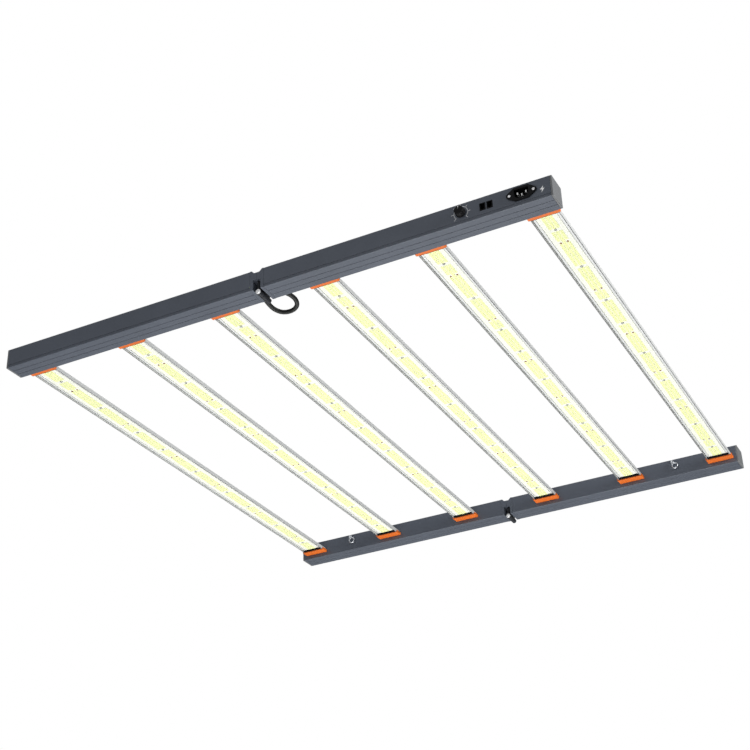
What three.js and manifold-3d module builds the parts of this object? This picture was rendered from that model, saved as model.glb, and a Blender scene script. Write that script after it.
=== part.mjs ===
// Folding LED grow light: two rails carry six LED bars, and a hinge in the middle
// of each rail lets the left half fold under the right half, LED side to LED side.
// Millimetres, +Z up.  X runs along the rails, Y from the near rail to the far one.
import * as THREE from 'three';
import { mergeVertices } from 'three/addons/utils/BufferGeometryUtils.js';
import Module from 'manifold-3d';

// ---- driving dimensions -------------------------------------------------------
const LENGTH = 1050;              // along the rails, over the end caps
const DEPTH = 1110;               // from the near rail's outer face to the far rail's
const RAIL_DEPTH = 41;
const RAIL_HEIGHT = 38;
const RAIL_WALL = 2.2;
const BAR_COUNT = 6;
const BAR_PITCH = 195.2;
const LED_HEIGHT = 14.5;          // underside of the LED boards above the rails' underside
const KNOB_REACH = 11;            // how far the dimmer knob stands out of the near rail
const GAP = 0.3;                  // between neighbouring pieces

// hinge: its barrel hangs a little below the rails
const BARREL_RADIUS = 5;
const AXIS_DROP = 2;              // fold axis below the rails' underside
const PIN_RADIUS = 2.5;
const PIN_HEAD_RADIUS = 4.6;
const BARREL_INSET = 6;           // from the rail's front face to the barrel

// ---- places -------------------------------------------------------------------
const RAIL_BOTTOM = BARREL_RADIUS + AXIS_DROP;
const AXIS_Z = RAIL_BOTTOM - AXIS_DROP;
const NEAR_FACE = (KNOB_REACH - DEPTH) / 2;
const FAR_FACE = NEAR_FACE + DEPTH;
const NEAR_INNER = NEAR_FACE + RAIL_DEPTH;
const FAR_INNER = FAR_FACE - RAIL_DEPTH;
const MIDDLE_Y = (NEAR_FACE + FAR_FACE) / 2;
const SIDES = [{ name: 'near', outer: NEAR_FACE, front: NEAR_FACE, inner: NEAR_INNER, inward: 1 },
  { name: 'far', outer: FAR_FACE, front: FAR_INNER, inner: FAR_INNER, inward: -1 }];
const HALVES = [{ name: 'left', sign: -1 }, { name: 'right', sign: 1 }];
const CAP_THICKNESS = 3;
const BLOCK_LENGTH = 13.3;        // visible length of a hinge block
const DIAL_X = 372.5;
const DIAL_Z = RAIL_BOTTOM + 20.5;
const JACK_X = [409.3, 421.3];
const JACK_Z = RAIL_BOTTOM + 19.7;
const INLET_X = 475;
const INLET_Z = RAIL_BOTTOM + 21;
const INLET_SCREW_PITCH = 40;
const GLAND_X = 19.5;
const GLAND_Z = RAIL_BOTTOM + 19;
const HOOK_X = 391;

// ---- materials ----------------------------------------------------------------
function finish(color, roughness, metalness) {
  return () => new THREE.MeshStandardMaterial({ color, roughness, metalness });
}
const railPaint = finish(0x50545c, 0.5, 0.3);
const capPlastic = finish(0x878987, 0.6, 0);
const steel = finish(0x9a9ea3, 0.35, 0.9);
const whiteSteel = finish(0xe8ecf0, 0.3, 0.5);
const aluminium = finish(0xd4d6d4, 0.4, 0.9);
const boardWhite = finish(0xf2f4dc, 0.5, 0);
const orangePlastic = finish(0xe27337, 0.5, 0);
const blackPlastic = finish(0x15161a, 0.5, 0);
const cableBlack = finish(0x232522, 0.6, 0);
const driverGrey = finish(0xa8aaa8, 0.5, 0.6);

// ---- solids -------------------------------------------------------------------
const wasm = await Module();
wasm.setup();

function toManifold(geometry) {
  const bare = geometry.clone();
  bare.deleteAttribute('normal');
  bare.deleteAttribute('uv');
  const merged = mergeVertices(bare, 1e-4);
  return new wasm.Manifold(new wasm.Mesh({
    numProp: 3,
    vertProperties: new Float32Array(merged.attributes.position.array),
    triVerts: new Uint32Array(merged.index.array),
  }));
}

function toGeometry(manifold) {
  const mesh = manifold.getMesh();
  const geometry = new THREE.BufferGeometry();
  geometry.setAttribute('position', new THREE.BufferAttribute(mesh.vertProperties, 3));
  geometry.setIndex(new THREE.BufferAttribute(mesh.triVerts, 1));
  geometry.computeVertexNormals();
  return geometry;
}

// Joins the additions to the base, then cuts the cutters away.
function combine(base, additions, cutters = []) {
  let solid = toManifold(base);
  for (const piece of additions) solid = solid.add(toManifold(piece));
  for (const piece of cutters) solid = solid.subtract(toManifold(piece));
  return toGeometry(solid);
}

// Two places along an axis, the lower one first.
function ordered(a, b) {
  return a < b ? [a, b] : [b, a];
}

// A box given by its lowest and highest corners.
function span([x0, y0, z0], [x1, y1, z1]) {
  const box = new THREE.BoxGeometry(x1 - x0, y1 - y0, z1 - z0);
  return box.translate((x0 + x1) / 2, (y0 + y1) / 2, (z0 + z1) / 2);
}

// A box along Y whose middle is at x and z.
function window(x, z, width, height, [y0, y1]) {
  return span([x - width / 2, y0, z - height / 2], [x + width / 2, y1, z + height / 2]);
}

// A cylinder along Y between two places.
function rodY(radius, x, z, y0, y1, sides = 20) {
  const rod = new THREE.CylinderGeometry(radius, radius, y1 - y0, sides);
  return rod.translate(x, (y0 + y1) / 2, z);
}

// An outline in X and Z, extruded along Y from y0 to y1.
function extrudeY(shape, y0, y1) {
  const solid = new THREE.ExtrudeGeometry(shape, { depth: y1 - y0, bevelEnabled: false, curveSegments: 6 });
  return solid.rotateX(Math.PI / 2).translate(0, y1, 0);
}

// An outline in Y and Z, extruded along X from x0 to x1.
function extrudeX(shape, x0, x1) {
  const solid = new THREE.ExtrudeGeometry(shape, { depth: x1 - x0, bevelEnabled: false, curveSegments: 4 });
  const turn = new THREE.Matrix4().makeBasis(
    new THREE.Vector3(0, 1, 0), new THREE.Vector3(0, 0, 1), new THREE.Vector3(1, 0, 0));
  return solid.applyMatrix4(turn).translate(x0, 0, 0);
}

function roundedRectangle(left, bottom, right, top, radius) {
  const shape = new THREE.Shape();
  shape.moveTo(left + radius, bottom);
  shape.lineTo(right - radius, bottom);
  shape.absarc(right - radius, bottom + radius, radius, -Math.PI / 2, 0, false);
  shape.lineTo(right, top - radius);
  shape.absarc(right - radius, top - radius, radius, 0, Math.PI / 2, false);
  shape.lineTo(left + radius, top);
  shape.absarc(left + radius, top - radius, radius, Math.PI / 2, Math.PI, false);
  shape.lineTo(left, bottom + radius);
  shape.absarc(left + radius, bottom + radius, radius, Math.PI, Math.PI * 1.5, false);
  return shape;
}

function polygon(points) {
  return new THREE.Shape(points.map(([a, b]) => new THREE.Vector2(a, b)));
}

// A turned piece along Y: the profile gives [radius, y] from the axis back to the axis.
function turned(profile, x, z, sides = 16) {
  const points = profile.map(([radius, y]) => new THREE.Vector2(radius, y));
  return new THREE.LatheGeometry(points, sides).translate(x, 0, z);
}

// A round wire or cable along a path.
function wire(path, radius, steps, sides = 8) {
  const corners = [];
  for (let side = 0; side < sides; side += 1) {
    const angle = (side / sides) * Math.PI * 2;
    corners.push([radius * Math.cos(angle), radius * Math.sin(angle)]);
  }
  return new THREE.ExtrudeGeometry(polygon(corners), { extrudePath: path, steps, bevelEnabled: false });
}

const light = new THREE.Group();

function place(name, geometry, material) {
  const mesh = new THREE.Mesh(geometry, material());
  mesh.name = name;
  light.add(mesh);
}

// ---- rails --------------------------------------------------------------------
const RAIL_START = BLOCK_LENGTH + GAP;
const RAIL_END = LENGTH / 2 - CAP_THICKNESS - GAP;
const RAIL_CORNER = 1.2;
const GROOVE_WIDTH = 1;
const GROOVE_DEPTH = 0.8;
const GROOVE_PLACES = [14, 27];   // across the underside, from the outer face
const STRIP_BOTTOM = 1.4;         // the recessed strip low on the outer face
const STRIP_TOP = 6.2;
const STRIP_DEPTH = 1;
const STRIP_SLOPE = 0.5;
const WIRE_HOLE_RADIUS = 4;
const WIRE_HOLE_Z = RAIL_BOTTOM + 21;

// The rail's section: a box tube with two fine grooves underneath and a recessed
// strip low on its outer face.  `outer` is the outer face, `inward` its way in.
function railSection({ outer, inward }) {
  const at = (across, up) => [outer + inward * across, RAIL_BOTTOM + up];
  const shape = new THREE.Shape();
  const corner = (across, up, fromAcross, fromUp, toAcross, toUp) => {
    shape.lineTo(...at(across + fromAcross, up + fromUp));
    shape.quadraticCurveTo(...at(across, up), ...at(across + toAcross, up + toUp));
  };
  shape.moveTo(...at(RAIL_CORNER, 0));
  for (const groove of GROOVE_PLACES) {
    shape.lineTo(...at(groove - GROOVE_WIDTH / 2, 0));
    shape.lineTo(...at(groove - GROOVE_WIDTH / 4, GROOVE_DEPTH));
    shape.lineTo(...at(groove + GROOVE_WIDTH / 4, GROOVE_DEPTH));
    shape.lineTo(...at(groove + GROOVE_WIDTH / 2, 0));
  }
  corner(RAIL_DEPTH, 0, -RAIL_CORNER, 0, 0, RAIL_CORNER);
  corner(RAIL_DEPTH, RAIL_HEIGHT, 0, -RAIL_CORNER, -RAIL_CORNER, 0);
  corner(0, RAIL_HEIGHT, RAIL_CORNER, 0, 0, -RAIL_CORNER);
  shape.lineTo(...at(0, STRIP_TOP));
  shape.lineTo(...at(STRIP_DEPTH, STRIP_TOP - STRIP_SLOPE));
  shape.lineTo(...at(STRIP_DEPTH, STRIP_BOTTOM + STRIP_SLOPE));
  shape.lineTo(...at(0, STRIP_BOTTOM));
  corner(0, 0, 0, RAIL_CORNER, RAIL_CORNER, 0);
  const [y0, y1] = ordered(outer + inward * RAIL_WALL, outer + inward * (RAIL_DEPTH - RAIL_WALL));
  const [z0, z1] = [RAIL_BOTTOM + RAIL_WALL, RAIL_BOTTOM + RAIL_HEIGHT - RAIL_WALL];
  shape.holes.push(polygon([[y0, z0], [y1, z0], [y1, z1], [y0, z1]]));
  return shape;
}

// Holes for the wires from a rail into the ends of its LED bars, and for the glands.
function wireHoles(side, half) {
  const ys = [side.inner - RAIL_WALL - 1, side.inner + RAIL_WALL + 1];
  const barPlaces = [0.5, 1.5, 2.5].map((step) => half.sign * step * BAR_PITCH);
  const holes = barPlaces.map((x) => rodY(WIRE_HOLE_RADIUS, x, WIRE_HOLE_Z, ...ys, 12));
  if (side.name === 'near') {
    holes.push(rodY(GLAND_THREAD_RADIUS + GAP, half.sign * GLAND_X, GLAND_Z, ...ys, 16));
  }
  return holes;
}

// Cut-outs in the near right rail for the dimmer, the two jacks and the mains inlet.
function controlHoles() {
  const ys = [NEAR_FACE - 1, NEAR_FACE + RAIL_WALL + 1];
  const holes = [rodY(BUSHING_RADIUS + GAP, DIAL_X, DIAL_Z, ...ys, 16)];
  for (const x of JACK_X) holes.push(window(x, JACK_Z, JACK_WIDTH + 2 * GAP, JACK_HEIGHT + 2 * GAP, ys));
  holes.push(window(INLET_X, INLET_Z, INLET_BODY[0] + 2 * GAP, INLET_BODY[1] + 2 * GAP, ys));
  for (const sign of [-1, 1]) {
    const x = INLET_X + sign * INLET_SCREW_PITCH / 2;
    holes.push(rodY(INLET_SCREW_RADIUS + GAP, x, INLET_Z, ...ys, 12));
  }
  return holes;
}

function addRails() {
  for (const side of SIDES) {
    for (const half of HALVES) {
      const ends = ordered(half.sign * RAIL_START, half.sign * RAIL_END);
      const tube = extrudeX(railSection(side), ...ends);
      const holes = wireHoles(side, half);
      if (side.name === 'near' && half.name === 'right') holes.push(...controlHoles());
      place(`${side.name}_rail_${half.name}`, combine(tube, [], holes), railPaint);
    }
  }
}

// ---- end caps -----------------------------------------------------------------
const PLUG_DEPTH = 5;
const PLUG_INSET = RAIL_WALL + GAP;
const PLUG_OVERLAP = 2;           // how far a plug runs into the plate or block it belongs to

// A flat plate over the rail's end, with a plug that goes into the tube.
function addEndCaps() {
  for (const side of SIDES) {
    const low = Math.min(side.outer, side.outer + side.inward * RAIL_DEPTH);
    const high = low + RAIL_DEPTH;
    const top = RAIL_BOTTOM + RAIL_HEIGHT;
    const outline = roundedRectangle(low, RAIL_BOTTOM, high, top, RAIL_CORNER);
    for (const half of HALVES) {
      const inside = LENGTH / 2 - CAP_THICKNESS;
      const ends = ordered(half.sign * inside, half.sign * LENGTH / 2);
      const plugEnds = ordered(half.sign * (inside - PLUG_DEPTH), half.sign * (inside + PLUG_OVERLAP));
      const plug = span([plugEnds[0], low + PLUG_INSET, RAIL_BOTTOM + PLUG_INSET],
        [plugEnds[1], high - PLUG_INSET, top - PLUG_INSET]);
      place(`${side.name}_end_cap_${half.name}`, combine(extrudeX(outline, ...ends), [plug]), capPlastic);
    }
  }
}

// ---- hinges -------------------------------------------------------------------
const HALF_GAP = GAP / 2;
const SLOT_HALF_WIDTH = 7.3;
const SLOT_HEIGHT = 19;
const STEP_DEPTH = 5;             // the notch in the top of the joint
const STEP_LENGTH = 5;
const BLOCK_PLUG_END = 26;
const LEAF_THICKNESS = 1.8;
const LEAF_TOP = RAIL_BOTTOM + 31;
const PIN_PLAY = 0.1;
const PIN_HEAD_HEIGHT = 1.9;
const PIN_INSET = 0.4;            // the pin's end, from the rail's back face
const KNUCKLE_LENGTH = (RAIL_DEPTH - BARREL_INSET - 2 * GAP) / 3;
const KNUCKLE_CLEARANCE = 0.5;
const KNUCKLES = ['right', 'left', 'right'].map((half, index) => {
  const from = BARREL_INSET + index * (KNUCKLE_LENGTH + GAP);
  return { half, from, to: from + KNUCKLE_LENGTH };
});

// The joint face of a hinge block, from the fold line outwards: the slot around the
// barrel at its foot and a notch at its top.
function hingeBlockOutline(sign) {
  const at = (x, up) => [sign * x, RAIL_BOTTOM + up];
  return polygon([at(HALF_GAP, SLOT_HEIGHT), at(HALF_GAP, RAIL_HEIGHT - STEP_DEPTH),
    at(STEP_LENGTH, RAIL_HEIGHT - STEP_DEPTH), at(STEP_LENGTH + STEP_DEPTH, RAIL_HEIGHT),
    at(BLOCK_LENGTH, RAIL_HEIGHT), at(BLOCK_LENGTH, 0), at(SLOT_HALF_WIDTH, 0),
    at(SLOT_HALF_WIDTH, SLOT_HEIGHT)]);
}

// The cast block that plugs a rail's inner end, cut away for its hinge leaf.
function hingeBlock(side, half) {
  const y0 = side.front;
  const y1 = side.front + RAIL_DEPTH;
  const top = RAIL_BOTTOM + RAIL_HEIGHT;
  const plugXs = ordered(half.sign * (BLOCK_LENGTH - PLUG_OVERLAP), half.sign * BLOCK_PLUG_END);
  const plug = span([plugXs[0], y0 + PLUG_INSET, RAIL_BOTTOM + PLUG_INSET],
    [plugXs[1], y1 - PLUG_INSET, top - PLUG_INSET]);
  const rebateXs = ordered(-half.sign, half.sign * (HALF_GAP + LEAF_THICKNESS + GAP));
  const rebate = span([rebateXs[0], y0 + BARREL_INSET - GAP, RAIL_BOTTOM],
    [rebateXs[1], y1 + 1, LEAF_TOP + GAP]);
  const cutters = [rebate];
  if (side.name === 'near') {
    const threadEnd = y1 - RAIL_WALL - GLAND_THREAD - PLUG_OVERLAP;
    cutters.push(rodY(GLAND_THREAD_RADIUS + GAP, half.sign * GLAND_X, GLAND_Z, threadEnd, y1 + 1, 16));
  }
  return combine(extrudeY(hingeBlockOutline(half.sign), y0, y1), [plug], cutters);
}

// A hinge leaf with its own knuckles around the pin.
function hingeLeaf(side, half) {
  const front = side.front;
  const xs = ordered(half.sign * HALF_GAP, half.sign * (HALF_GAP + LEAF_THICKNESS));
  const plate = span([xs[0], front + BARREL_INSET, AXIS_Z + 1], [xs[1], front + RAIL_DEPTH, LEAF_TOP]);
  const own = KNUCKLES.filter((knuckle) => knuckle.half === half.name);
  const other = KNUCKLES.filter((knuckle) => knuckle.half !== half.name);
  const barrels = own.map(({ from, to }) => rodY(BARREL_RADIUS, 0, AXIS_Z, front + from, front + to));
  const clearances = other.map(({ from, to }) => rodY(BARREL_RADIUS + KNUCKLE_CLEARANCE, 0,
    AXIS_Z, front + from - GAP, front + to + GAP));
  const bore = rodY(PIN_RADIUS + PIN_PLAY, 0, AXIS_Z, front, front + RAIL_DEPTH + 1);
  return combine(plate, barrels, [...clearances, bore]);
}

// The pin has a polished domed head in front and ends flush behind.
function hingePin() {
  const headBack = BARREL_INSET - GAP;
  const headFront = headBack - PIN_HEAD_HEIGHT;
  const end = RAIL_DEPTH - PIN_INSET;
  return turned([[0, headFront], [PIN_HEAD_RADIUS * 0.7, headFront + PIN_HEAD_HEIGHT * 0.2],
    [PIN_HEAD_RADIUS, headFront + PIN_HEAD_HEIGHT * 0.7], [PIN_HEAD_RADIUS, headBack],
    [PIN_RADIUS, headBack], [PIN_RADIUS, end], [0, end]], 0, AXIS_Z);
}

function addHinges() {
  for (const side of SIDES) {
    for (const half of HALVES) {
      place(`${side.name}_hinge_block_${half.name}`, hingeBlock(side, half), railPaint);
      place(`${side.name}_hinge_leaf_${half.name}`, hingeLeaf(side, half), steel);
    }
    place(`${side.name}_hinge_pin`, hingePin().translate(0, side.front, 0), whiteSteel);
  }
}

// ---- LED bars -----------------------------------------------------------------
const BAR_HALF_WIDTH = 24.4;
const BAR_END_GAP = 3.1;          // from a rail's inner face to the end of a bar
const LIP_THICKNESS = 1.4;
const LIP_BOTTOM = 11.4;          // above the rails' underside, as the other heights here
const LIP_GROOVE = [1.4, 1.8];    // width and depth of the groove inside each lip
const BOARD_HALF_WIDTH = 17.4;
const BOARD_THICKNESS = 1.6;
const BOARD_LENGTH = 982;
const CHANNEL_HALF_WIDTH = 18.2;
const BASE_TOP = 18.9;
const FIN_PITCH = 5;
const FIN_THICKNESS = 1.5;
const FIN_TOPS = [24.5, 28.5, 30.5, 30.5, 30.5, 28.5, 24.5];

function barX(bar) {
  return (bar - (BAR_COUNT - 1) / 2) * BAR_PITCH;
}

// The right half of the bar's section from its middle outwards: the channel for the
// board, a floor, a groove, and a lip that hangs below the board.
function barUnderside() {
  const inside = BAR_HALF_WIDTH - LIP_THICKNESS;
  const [grooveWidth, grooveDepth] = LIP_GROOVE;
  return [[CHANNEL_HALF_WIDTH, LED_HEIGHT + BOARD_THICKNESS + GAP], [CHANNEL_HALF_WIDTH, LED_HEIGHT],
    [inside - grooveWidth, LED_HEIGHT], [inside - grooveWidth, LED_HEIGHT + grooveDepth],
    [inside, LED_HEIGHT + grooveDepth], [inside, LIP_BOTTOM], [BAR_HALF_WIDTH, LIP_BOTTOM],
    [BAR_HALF_WIDTH, BASE_TOP]];
}

// The bar's whole section, with cooling fins on top.
function barSection() {
  const right = barUnderside();
  const left = right.map(([across, up]) => [-across, up]).reverse();
  const fins = [];
  for (let fin = FIN_TOPS.length - 1; fin >= 0; fin -= 1) {
    const middle = (fin - (FIN_TOPS.length - 1) / 2) * FIN_PITCH;
    const [from, to] = [middle + FIN_THICKNESS / 2, middle - FIN_THICKNESS / 2];
    fins.push([from, BASE_TOP], [from, FIN_TOPS[fin]], [to, FIN_TOPS[fin]], [to, BASE_TOP]);
  }
  return [...left, ...right, ...fins];
}

function addBars() {
  const section = barSection();
  const boardBottom = RAIL_BOTTOM + LED_HEIGHT;
  for (let bar = 0; bar < BAR_COUNT; bar += 1) {
    const x = barX(bar);
    const outline = polygon(section.map(([across, up]) => [x + across, RAIL_BOTTOM + up]));
    const extrusion = extrudeY(outline, NEAR_INNER + BAR_END_GAP, FAR_INNER - BAR_END_GAP);
    const board = span([x - BOARD_HALF_WIDTH, MIDDLE_Y - BOARD_LENGTH / 2, boardBottom],
      [x + BOARD_HALF_WIDTH, MIDDLE_Y + BOARD_LENGTH / 2, boardBottom + BOARD_THICKNESS]);
    place(`led_bar_${bar + 1}`, extrusion, aluminium);
    place(`led_board_${bar + 1}`, board, boardWhite);
  }
}

// ---- bar brackets -------------------------------------------------------------
const BRACKET_HALF_WIDTH = 27.4;
const BRACKET_REACH = 18.5;       // from the rail's inner face
const BRACKET_BOTTOM = 9.3;       // above the rails' underside
const BRACKET_FLOOR = 1.8;
const BRACKET_WALL = 1.4;
const BRACKET_SIDE_TOP = 14.5;
const BRACKET_CHAMFER = 1.2;
const FLANGE_HALF_WIDTH = 15;
const FLANGE_TOP = 25;

// An orange tray that carries the end of a bar: a floor under the bar's lips, two low
// sides, and a flange on the rail.
function bracket(x, side) {
  const up = (height) => RAIL_BOTTOM + height;
  const ys = (from, to) => ordered(side.inner + side.inward * from, side.inner + side.inward * to);
  const [y0, y1] = ys(GAP, BRACKET_REACH);
  const floorTop = BRACKET_BOTTOM + BRACKET_FLOOR;
  const inside = BRACKET_HALF_WIDTH - BRACKET_WALL;
  const outline = polygon([[-BRACKET_HALF_WIDTH, BRACKET_SIDE_TOP],
    [-BRACKET_HALF_WIDTH, BRACKET_BOTTOM + BRACKET_CHAMFER],
    [-BRACKET_HALF_WIDTH + BRACKET_CHAMFER, BRACKET_BOTTOM],
    [BRACKET_HALF_WIDTH - BRACKET_CHAMFER, BRACKET_BOTTOM],
    [BRACKET_HALF_WIDTH, BRACKET_BOTTOM + BRACKET_CHAMFER], [BRACKET_HALF_WIDTH, BRACKET_SIDE_TOP],
    [inside, BRACKET_SIDE_TOP], [inside, floorTop], [-inside, floorTop],
    [-inside, BRACKET_SIDE_TOP]].map(([across, height]) => [x + across, up(height)]));
  const [flange0, flange1] = ys(GAP, BAR_END_GAP - GAP);
  const flange = span([x - FLANGE_HALF_WIDTH, flange0, up(BRACKET_BOTTOM + BRACKET_WALL)],
    [x + FLANGE_HALF_WIDTH, flange1, up(FLANGE_TOP)]);
  return combine(extrudeY(outline, y0, y1), [flange]);
}

function addBrackets() {
  for (const side of SIDES) {
    for (let bar = 0; bar < BAR_COUNT; bar += 1) {
      place(`${side.name}_bracket_${bar + 1}`, bracket(barX(bar), side), orangePlastic);
    }
  }
}

// ---- drivers inside the near rail ---------------------------------------------
const DRIVER_START = 50;
const DRIVER_LENGTH = 290;
const DRIVER_FRONT_GAP = 5;
const DRIVER_BACK_GAP = 7;
const DRIVER_TOP = 30;

function addDrivers() {
  for (const half of HALVES) {
    const ends = ordered(half.sign * DRIVER_START, half.sign * (DRIVER_START + DRIVER_LENGTH));
    const outline = roundedRectangle(NEAR_FACE + DRIVER_FRONT_GAP, RAIL_BOTTOM + RAIL_WALL + GAP,
      NEAR_INNER - DRIVER_BACK_GAP, RAIL_BOTTOM + DRIVER_TOP, 2);
    place(`driver_${half.name}`, extrudeX(outline, ...ends), driverGrey);
  }
}

// ---- mains inlet --------------------------------------------------------------
const INLET_BODY = [27, 19.5];
const INLET_FLANGE = [50, 24];
const INLET_FLANGE_THICKNESS = 2.4;
const INLET_SOCKET = [23.6, 15.6];
const INLET_SOCKET_DEPTH = 15;
const INLET_BODY_DEPTH = 18;
const INLET_SOCKET_CUT = 4.5;
const INLET_SCREW_RADIUS = 1.5;
const INLET_SCREW_REACH = 6;      // behind the rail's face
const INLET_HEAD_RADIUS = 2.6;
const INLET_HEAD_HEIGHT = 1.2;
const INLET_CONTACT = [2, 4];
const INLET_CONTACT_INSET = 3;    // from the flange's face to the tips of the contacts
const INLET_TAB = 4;              // the solder tabs behind the body
const INLET_CONTACT_PLACES = [['line', -7, 1.9], ['neutral', 7, 1.9], ['earth', 0, -1.9]];
const INLET_EAR_LEAN = Math.PI / 5;

// The flange is a rectangle that narrows to a round ear at each screw.
function inletFlange() {
  const [width, height] = INLET_FLANGE;
  const pitch = INLET_SCREW_PITCH / 2;
  const ear = width / 2 - pitch;
  const flat = INLET_BODY[0] / 2 - 2;
  const quarter = Math.PI / 2;
  const shape = new THREE.Shape();
  shape.moveTo(INLET_X - flat, INLET_Z - height / 2);
  shape.lineTo(INLET_X + flat, INLET_Z - height / 2);
  shape.absarc(INLET_X + pitch, INLET_Z, ear, INLET_EAR_LEAN - quarter, quarter - INLET_EAR_LEAN, false);
  shape.lineTo(INLET_X + flat, INLET_Z + height / 2);
  shape.lineTo(INLET_X - flat, INLET_Z + height / 2);
  shape.absarc(INLET_X - pitch, INLET_Z, ear, quarter + INLET_EAR_LEAN, 3 * quarter - INLET_EAR_LEAN, false);
  return shape;
}

// The socket has two cut corners at its lower edge.
function inletSocket() {
  const half = INLET_SOCKET[0] / 2;
  const up = INLET_SOCKET[1] / 2;
  const cut = INLET_SOCKET_CUT;
  return polygon([[-half, up], [-half, cut - up], [cut - half, -up], [half - cut, -up], [half, cut - up],
    [half, up]].map(([across, height]) => [INLET_X + across, INLET_Z + height]));
}

function addInlet() {
  const face = NEAR_FACE - GAP - INLET_FLANGE_THICKNESS;
  const floor = face + INLET_SOCKET_DEPTH;
  const back = NEAR_FACE + INLET_BODY_DEPTH;
  const body = window(INLET_X, INLET_Z, ...INLET_BODY, [NEAR_FACE - GAP - 0.5, back]);
  const cutters = [extrudeY(inletSocket(), face - 1, floor)];
  for (const half of HALVES) {
    const x = INLET_X + half.sign * INLET_SCREW_PITCH / 2;
    const seat = face + INLET_HEAD_HEIGHT;
    cutters.push(rodY(INLET_SCREW_RADIUS + GAP, x, INLET_Z, face - 1, NEAR_FACE, 12));
    cutters.push(rodY(INLET_HEAD_RADIUS + GAP, x, INLET_Z, face - 1, seat + GAP, 16));
    place(`inlet_screw_${half.name}`, inletScrew(x, face, seat), whiteSteel);
  }
  const [width, height] = INLET_CONTACT;
  for (const [name, across, up] of INLET_CONTACT_PLACES) {
    const [x, z] = [INLET_X + across, INLET_Z + up];
    cutters.push(window(x, z, width + 2 * GAP, height + 2 * GAP, [floor - 1, back + 1]));
    const contact = window(x, z, width, height, [face + INLET_CONTACT_INSET, back + INLET_TAB]);
    place(`inlet_contact_${name}`, contact, whiteSteel);
  }
  const flange = extrudeY(inletFlange(), face, NEAR_FACE - GAP);
  place('mains_inlet', combine(flange, [body], cutters), blackPlastic);
}

// A screw whose flat head, from `front` to `seat`, is sunk into the flange.
function inletScrew(x, front, seat) {
  const end = NEAR_FACE + INLET_SCREW_REACH;
  const edge = 0.3;
  return turned([[0, front], [INLET_HEAD_RADIUS - edge, front], [INLET_HEAD_RADIUS, front + edge],
    [INLET_HEAD_RADIUS, seat], [INLET_SCREW_RADIUS, seat], [INLET_SCREW_RADIUS, end], [0, end]],
  x, INLET_Z, 16);
}

// ---- dimmer jacks -------------------------------------------------------------
const JACK_WIDTH = 9.6;
const JACK_HEIGHT = 13.4;
const JACK_PROUD = 0.6;
const JACK_BODY_DEPTH = 15;
const JACK_OPENING = [7.4, 9.6];
const JACK_OPENING_RISE = 0.5;    // the opening's middle above the jack's
const JACK_LATCH = [4.4, 1.6];    // the latch slot under the opening
const JACK_LATCH_DROP = 5;
const JACK_FLOOR = 2;

// Two sockets on one carrier behind the rail's wall.
function addJacks() {
  const [left, right] = JACK_X;
  const wallBack = NEAR_FACE + RAIL_WALL + GAP;
  const front = NEAR_FACE - JACK_PROUD;
  const back = NEAR_FACE + JACK_BODY_DEPTH;
  const carrier = window((left + right) / 2, JACK_Z, right - left + JACK_WIDTH + 2, JACK_HEIGHT + 2,
    [wallBack, back]);
  const noses = JACK_X.map((x) => window(x, JACK_Z, JACK_WIDTH, JACK_HEIGHT, [front, wallBack + 1]));
  const sockets = [];
  for (const x of JACK_X) {
    sockets.push(window(x, JACK_Z + JACK_OPENING_RISE, ...JACK_OPENING, [front - 1, back - JACK_FLOOR]));
    sockets.push(window(x, JACK_Z - JACK_LATCH_DROP, ...JACK_LATCH, [front - 1, back - 2 * JACK_FLOOR]));
  }
  place('dimmer_jack_pair', combine(carrier, noses, sockets), blackPlastic);
}

// ---- dimmer -------------------------------------------------------------------
const BUSHING_RADIUS = 3.5;
const SHAFT_RADIUS = 2.9;
const SHAFT_LENGTH = 8;           // in front of the rail
const CAN_RADIUS = 8;
const CAN_DEPTH = 9;
const KNOB_RADIUS = 8.5;
const KNOB_LIFT = 0.5;            // between the knob and the rail
const KNOB_TAPER = 0.3;
const KNOB_SKIRT = 1;
const KNOB_CHAMFER = 0.8;
const POINTER_WIDTH = 1.2;
const POINTER_DEPTH = 0.5;
const POINTER_START = 2;

function potentiometer() {
  const inside = NEAR_FACE + RAIL_WALL + GAP;
  const tip = NEAR_FACE - SHAFT_LENGTH;
  const shoulder = NEAR_FACE - GAP;
  return turned([[0, tip], [SHAFT_RADIUS, tip], [SHAFT_RADIUS, shoulder], [BUSHING_RADIUS, shoulder],
    [BUSHING_RADIUS, inside], [CAN_RADIUS, inside], [CAN_RADIUS, inside + CAN_DEPTH],
    [0, inside + CAN_DEPTH]], DIAL_X, DIAL_Z);
}

// The knob is hollow at the back, over the shaft, and has a groove for its pointer.
function knob() {
  const front = NEAR_FACE - KNOB_REACH;
  const back = NEAR_FACE - KNOB_LIFT;
  const bore = SHAFT_RADIUS + GAP;
  const boreEnd = NEAR_FACE - SHAFT_LENGTH - GAP;
  const body = turned([[0, front], [KNOB_RADIUS - 2 * KNOB_CHAMFER, front],
    [KNOB_RADIUS - KNOB_CHAMFER, front + KNOB_CHAMFER], [KNOB_RADIUS - KNOB_TAPER, back - 1.5 * KNOB_SKIRT],
    [KNOB_RADIUS, back - KNOB_SKIRT], [KNOB_RADIUS, back], [bore, back], [bore, boreEnd], [0, boreEnd]],
  DIAL_X, DIAL_Z, 24);
  const pointer = span([DIAL_X - POINTER_WIDTH / 2, front - 1, DIAL_Z + POINTER_START],
    [DIAL_X + POINTER_WIDTH / 2, front + POINTER_DEPTH, DIAL_Z + KNOB_RADIUS + 1]);
  return combine(body, [], [pointer]);
}

function addDimmer() {
  place('dimmer_potentiometer', potentiometer(), driverGrey);
  place('dimmer_knob', knob(), blackPlastic);
}

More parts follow.
